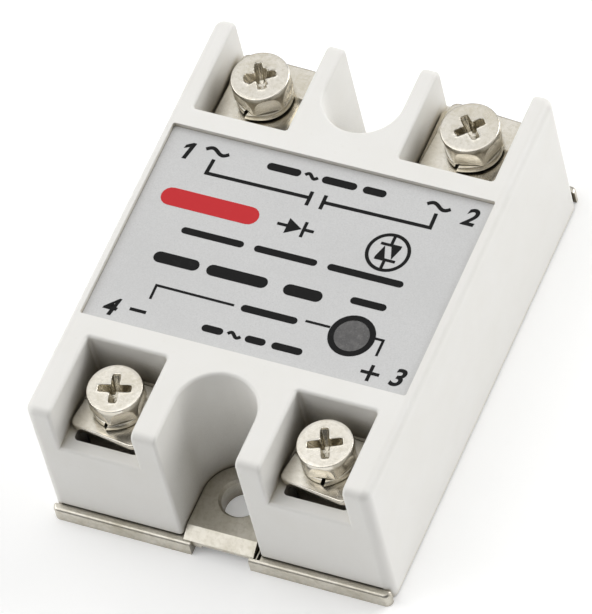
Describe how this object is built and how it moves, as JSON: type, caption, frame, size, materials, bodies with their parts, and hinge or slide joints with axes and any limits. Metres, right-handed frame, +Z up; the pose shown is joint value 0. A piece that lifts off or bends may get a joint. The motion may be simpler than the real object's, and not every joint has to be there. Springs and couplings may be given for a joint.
{
  "type": "solid state relay",
  "caption": "Panel-mount solid state relay block with screw terminals in open recesses, a plated base plate with mounting notches and a status indicator.",
  "frame": {"origin": "centre of the mounting face (underside of the base plate)", "axes": "+X across the body towards terminals 2 and 3, +Y along the body towards the output terminals, +Z up from the mounting face"},
  "size_m": [0.045, 0.0628, 0.0225],
  "materials": {
    "housing_plastic": "satin moulded thermoplastic, warm white",
    "plated_base": "satin nickel-coloured plating",
    "plated_steel": "bright nickel-plated steel",
    "plated_brass": "nickel-plated brass",
    "label_film": "matt silver-grey printed film",
    "indicator_window": "dark smoked window",
    "sealant": "black silicone",
    "potting": "black potting compound",
    "board": "green solder mask on glass-epoxy laminate",
    "alumina": "white alumina",
    "copper": "bare copper",
    "moulding_black": "black epoxy moulding",
    "resistor_body": "beige lacquered body",
    "capacitor_case": "yellow film-capacitor case",
    "varistor_coat": "blue epoxy coating",
    "led_lens": "red diffused lens"
  },
  "bodies": {
    "base": {"base_plate": "plated_base", "housing": "housing_plastic", "seal_gasket": "sealant", "label": "label_film", "light_pipe": "indicator_window", "indicator_led": "led_lens", "circuit_board": "board", "ceramic_insulator": "alumina", "heat_spreader": "copper", "power_triac": "moulding_black", "optocoupler": "moulding_black", "resistors": "resistor_body", "input_diode": "moulding_black", "snubber_capacitor": "capacitor_case", "varistor": "varistor_coat", "drive_transistor": "moulding_black", "potting_compound": "potting", "terminal_bar_1": "plated_brass", "terminal_nut_1": "plated_steel", "terminal_bar_2": "plated_brass", "terminal_nut_2": "plated_steel", "terminal_bar_3": "plated_brass", "terminal_nut_3": "plated_steel", "terminal_bar_4": "plated_brass", "terminal_nut_4": "plated_steel"},
    "clamp_1": {"clamp_plate_1": "plated_steel", "spring_washer_1": "plated_steel"},
    "screw_1": {"terminal_screw_1": "plated_steel"},
    "clamp_2": {"clamp_plate_2": "plated_steel", "spring_washer_2": "plated_steel"},
    "screw_2": {"terminal_screw_2": "plated_steel"},
    "clamp_3": {"clamp_plate_3": "plated_steel", "spring_washer_3": "plated_steel"},
    "screw_3": {"terminal_screw_3": "plated_steel"},
    "clamp_4": {"clamp_plate_4": "plated_steel", "spring_washer_4": "plated_steel"},
    "screw_4": {"terminal_screw_4": "plated_steel"}
  },
  "joints": [
    {"name": "clamp_lift_1", "type": "slide", "parent": "base", "child": "clamp_1", "axis": [0, 0, 1], "range_m": [0, 0.0021]},
    {"name": "screw_turn_1", "type": "hinge", "parent": "clamp_1", "child": "screw_1", "pos_m": [-0.014, 0.02365, 0.018], "axis": [0, 0, 1], "range_deg": [0, 1080]},
    {"name": "clamp_lift_2", "type": "slide", "parent": "base", "child": "clamp_2", "axis": [0, 0, 1], "range_m": [0, 0.0021]},
    {"name": "screw_turn_2", "type": "hinge", "parent": "clamp_2", "child": "screw_2", "pos_m": [0.014, 0.02365, 0.018], "axis": [0, 0, 1], "range_deg": [0, 1080]},
    {"name": "clamp_lift_3", "type": "slide", "parent": "base", "child": "clamp_3", "axis": [0, 0, 1], "range_m": [0, 0.0021]},
    {"name": "screw_turn_3", "type": "hinge", "parent": "clamp_3", "child": "screw_3", "pos_m": [0.0138, -0.02325, 0.018], "axis": [0, 0, 1], "range_deg": [0, 1080]},
    {"name": "clamp_lift_4", "type": "slide", "parent": "base", "child": "clamp_4", "axis": [0, 0, 1], "range_m": [0, 0.0021]},
    {"name": "screw_turn_4", "type": "hinge", "parent": "clamp_4", "child": "screw_4", "pos_m": [-0.0138, -0.02325, 0.018], "axis": [0, 0, 1], "range_deg": [0, 1080]}
  ],
  "couplings": [
    {"joint": "screw_turn_1", "follows": "clamp_lift_1", "rad_per_m": 8976},
    {"joint": "screw_turn_2", "follows": "clamp_lift_2", "rad_per_m": 8976},
    {"joint": "screw_turn_3", "follows": "clamp_lift_3", "rad_per_m": 8976},
    {"joint": "screw_turn_4", "follows": "clamp_lift_4", "rad_per_m": 8976}
  ]
}
